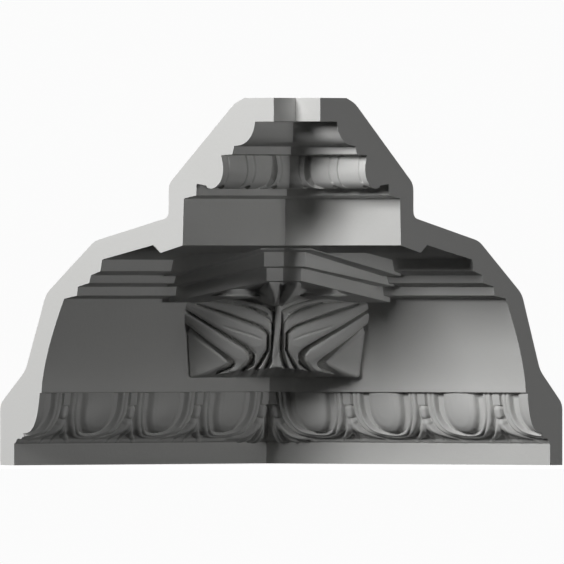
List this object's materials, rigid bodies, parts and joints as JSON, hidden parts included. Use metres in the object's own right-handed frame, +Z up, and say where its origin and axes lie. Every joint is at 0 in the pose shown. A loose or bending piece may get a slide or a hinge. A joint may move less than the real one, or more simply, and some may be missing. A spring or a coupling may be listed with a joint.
{
  "type": "inside corner moulding",
  "caption": "One-piece cornice corner for an inside angle of two walls, with two mitred arms, bands of egg and dart, and a leaf-carved bracket under a stepped cap.",
  "frame": {"origin": "bottom centre of the whole piece's box: the moulding's underside, halfway across and halfway deep", "axes": "+Z up towards the ceiling, +Y towards the corner of the room, +X across from the left arm's wall side to the right arm's, with the mitre plane at X = 0. The walls run along the two horizontal diagonals."},
  "size_m": [0.4314, 0.4136, 0.28],
  "materials": {
    "primed_polyurethane": "matt white factory primer on dense cast foam"
  },
  "bodies": {
    "root": {"inside_corner_moulding": "primed_polyurethane"}
  },
  "joints": []
}
